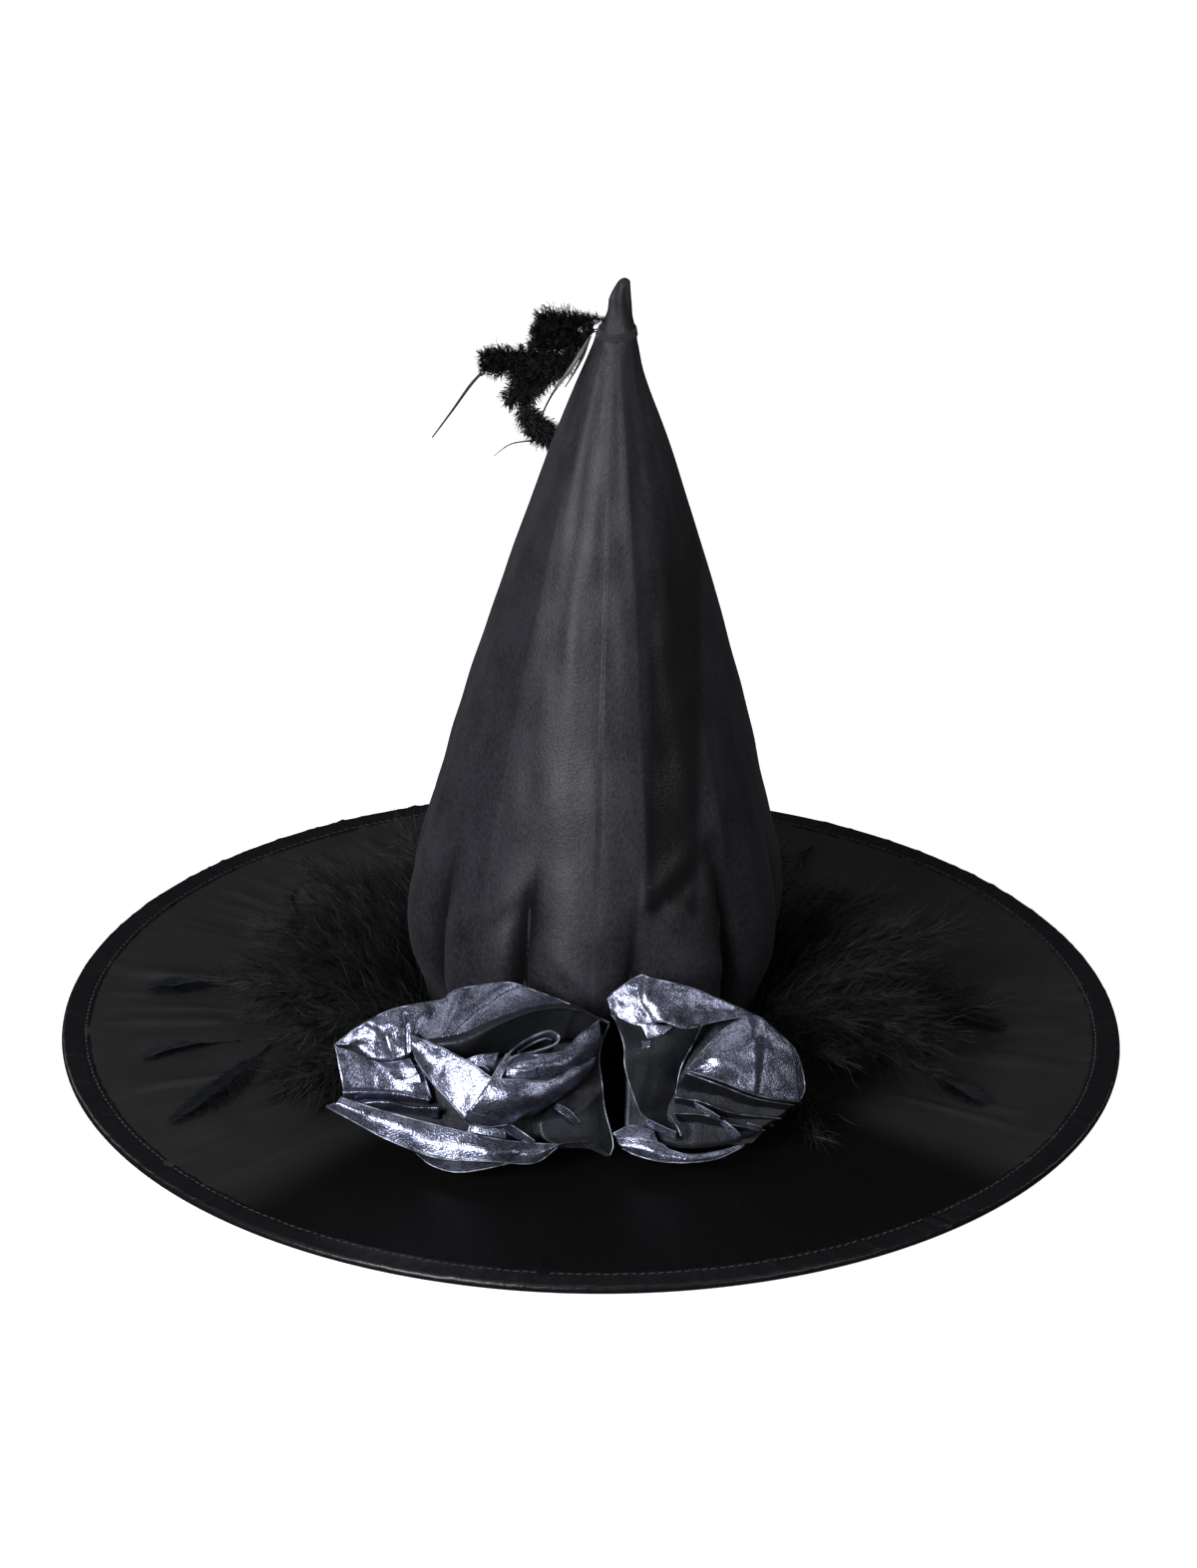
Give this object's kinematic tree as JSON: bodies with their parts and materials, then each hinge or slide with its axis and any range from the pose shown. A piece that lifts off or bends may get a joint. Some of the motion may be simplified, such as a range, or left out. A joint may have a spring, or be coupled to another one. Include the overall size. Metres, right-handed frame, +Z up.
{
  "type": "witch hat",
  "caption": "Pointed cloth hat with a wide wired round brim, a feather boa round the foot of the cone, satin ribbon roses in front and plumes tied at the tip.",
  "frame": {"origin": "middle of the brim on the plane its underside rests on", "axes": "+Z up along the cone, -Y towards the front where the roses are, +X to the right as seen from the front"},
  "size_m": [0.5, 0.5, 0.37],
  "materials": {
    "crown_satin": "satin weave, soft sheen",
    "interlining": "matte bonded fibre",
    "brim_taffeta": "taffeta, low sheen",
    "stiffener": "matte felted sheet",
    "binding": "ribbed bias tape",
    "spring_wire": "drawn wire",
    "sweatband_web": "woven web",
    "felt": "felt",
    "thread": "spun thread",
    "rose_satin": "bright satin",
    "boa_string": "twisted string",
    "cock_feather": "glossy vane",
    "quill": "bare quill",
    "down": "downy barbs"
  },
  "bodies": {
    "hat": {"binding_stitches": "thread", "boa_core": "boa_string", "boa_plumes_back": "down", "boa_plumes_left": "down", "boa_plumes_right": "down", "brim_binding": "binding", "brim_stiffener": "stiffener", "brim_top_cover": "brim_taffeta", "brim_under_cover": "brim_taffeta", "brim_wire": "spring_wire", "cock_feather_left_back": "cock_feather", "cock_feather_left_curl": "cock_feather", "cock_feather_left_front": "cock_feather", "cock_feather_left_split": "cock_feather", "cock_feather_right_back": "cock_feather", "cock_feather_right_curl": "cock_feather", "cock_feather_right_front": "cock_feather", "cock_feather_right_side": "cock_feather", "crown_cover": "crown_satin", "crown_interlining": "interlining", "crown_seam_thread": "thread", "rose_left_backing": "felt", "rose_left_heart": "rose_satin", "rose_left_inner_petals": "rose_satin", "rose_left_outer_petals": "rose_satin", "rose_left_tack_thread": "thread", "rose_right_backing": "felt", "rose_right_heart": "rose_satin", "rose_right_inner_petals": "rose_satin", "rose_right_outer_petals": "rose_satin", "rose_right_tack_thread": "thread", "sweatband": "sweatband_web", "sweatband_stitches": "thread", "tip_tie_thread": "thread", "wire_sleeve": "spring_wire"},
    "upper_plume": {"tip_plume_upper": "down", "tip_plume_upper_quill": "quill", "tip_plume_bare_stick": "quill"},
    "lower_plume": {"tip_plume_lower": "down", "tip_plume_lower_quill": "quill", "tip_plume_lower_barb": "quill"}
  },
  "joints": [
    {"name": "upper_plume_sway", "type": "hinge", "parent": "hat", "child": "upper_plume", "pos_m": [-0.00348, 0, 0.3475], "axis": [0, 1, 0], "range_deg": [-8, 30], "stiffness_Nm_per_rad": 0.01},
    {"name": "lower_plume_sway", "type": "hinge", "parent": "hat", "child": "lower_plume", "pos_m": [-0.00348, 0, 0.3475], "axis": [0, 1, 0], "range_deg": [0, 25], "stiffness_Nm_per_rad": 0.01}
  ]
}
